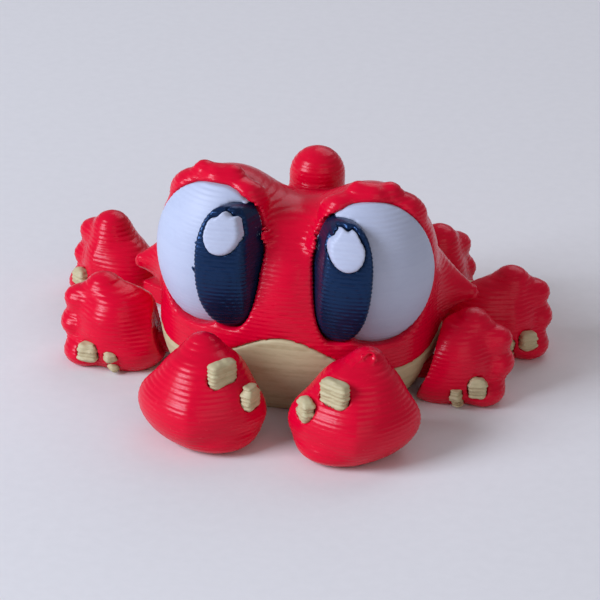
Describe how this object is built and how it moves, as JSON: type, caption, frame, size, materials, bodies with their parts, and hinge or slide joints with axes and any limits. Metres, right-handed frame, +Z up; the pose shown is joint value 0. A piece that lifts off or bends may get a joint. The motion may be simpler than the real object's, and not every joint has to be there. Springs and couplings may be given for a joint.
{
  "type": "articulated crab figurine",
  "caption": "Small printed crab with bulging eyes, angry brows, blunt nailed claws and legs that each wiggle on a captive upright pin under the shell.",
  "frame": {"origin": "on the floor, under the middle of the figure's bounding box", "axes": "-Y is where the crab faces, +X is to the right as seen from the front, +Z is up"},
  "size_m": [0.0488, 0.0412, 0.0225],
  "materials": {
    "red": "red printed plastic, satin to gloss, with level layer lines",
    "cream": "cream printed plastic, with level layer lines",
    "white": "white printed plastic, with level layer lines",
    "black": "blue-black printed plastic, with level layer lines"
  },
  "bodies": {
    "body": {"shell": "red", "belly": "cream", "eye_left": "white", "pupil_left": "black", "glint_left": "white", "eye_right": "white", "pupil_right": "black", "glint_right": "white"},
    "claw_left": {"claw_left": "red", "claw_left_nail_1": "cream", "claw_left_nail_2": "cream"},
    "claw_right": {"claw_right": "red", "claw_right_nail_1": "cream", "claw_right_nail_2": "cream"},
    "leg_1_left": {"leg_1_left": "red", "leg_1_left_nail_1": "cream", "leg_1_left_nail_2": "cream", "leg_1_left_nail_3": "cream"},
    "leg_1_right": {"leg_1_right": "red", "leg_1_right_nail_1": "cream", "leg_1_right_nail_2": "cream", "leg_1_right_nail_3": "cream"},
    "leg_2_left": {"leg_2_left": "red", "leg_2_left_nail_1": "cream", "leg_2_left_nail_2": "cream", "leg_2_left_nail_3": "cream"},
    "leg_2_right": {"leg_2_right": "red", "leg_2_right_nail_1": "cream", "leg_2_right_nail_2": "cream", "leg_2_right_nail_3": "cream"},
    "leg_3_left": {"leg_3_left": "red", "leg_3_left_nail_1": "cream", "leg_3_left_nail_2": "cream", "leg_3_left_nail_3": "cream"},
    "leg_3_right": {"leg_3_right": "red", "leg_3_right_nail_1": "cream", "leg_3_right_nail_2": "cream", "leg_3_right_nail_3": "cream"}
  },
  "joints": [
    {"name": "claw_left_hinge", "type": "hinge", "parent": "body", "child": "claw_left", "pos_m": [-0.00464, -0.00564, 0.0022], "axis": [0, 0, 1], "range_deg": [-23.5, 0.5]},
    {"name": "claw_right_hinge", "type": "hinge", "parent": "body", "child": "claw_right", "pos_m": [0.00694, -0.00564, 0.0022], "axis": [0, 0, 1], "range_deg": [-8, 16]},
    {"name": "leg_1_left_hinge", "type": "hinge", "parent": "body", "child": "leg_1_left", "pos_m": [-0.00827, -0.00185, 0.0022], "axis": [0, 0, 1], "range_deg": [-5, 13]},
    {"name": "leg_1_right_hinge", "type": "hinge", "parent": "body", "child": "leg_1_right", "pos_m": [0.01057, -0.00185, 0.0022], "axis": [0, 0, 1], "range_deg": [-13, 5]},
    {"name": "leg_2_left_hinge", "type": "hinge", "parent": "body", "child": "leg_2_left", "pos_m": [-0.00797, 0.00387, 0.0022], "axis": [0, 0, 1], "range_deg": [-2, 14]},
    {"name": "leg_2_right_hinge", "type": "hinge", "parent": "body", "child": "leg_2_right", "pos_m": [0.01027, 0.00387, 0.0022], "axis": [0, 0, 1], "range_deg": [-3, 13]},
    {"name": "leg_3_left_hinge", "type": "hinge", "parent": "body", "child": "leg_3_left", "pos_m": [-0.00368, 0.0069, 0.0022], "axis": [0, 0, 1], "range_deg": [-8, 8]},
    {"name": "leg_3_right_hinge", "type": "hinge", "parent": "body", "child": "leg_3_right", "pos_m": [0.00598, 0.0069, 0.0022], "axis": [0, 0, 1], "range_deg": [0, 16]}
  ]
}
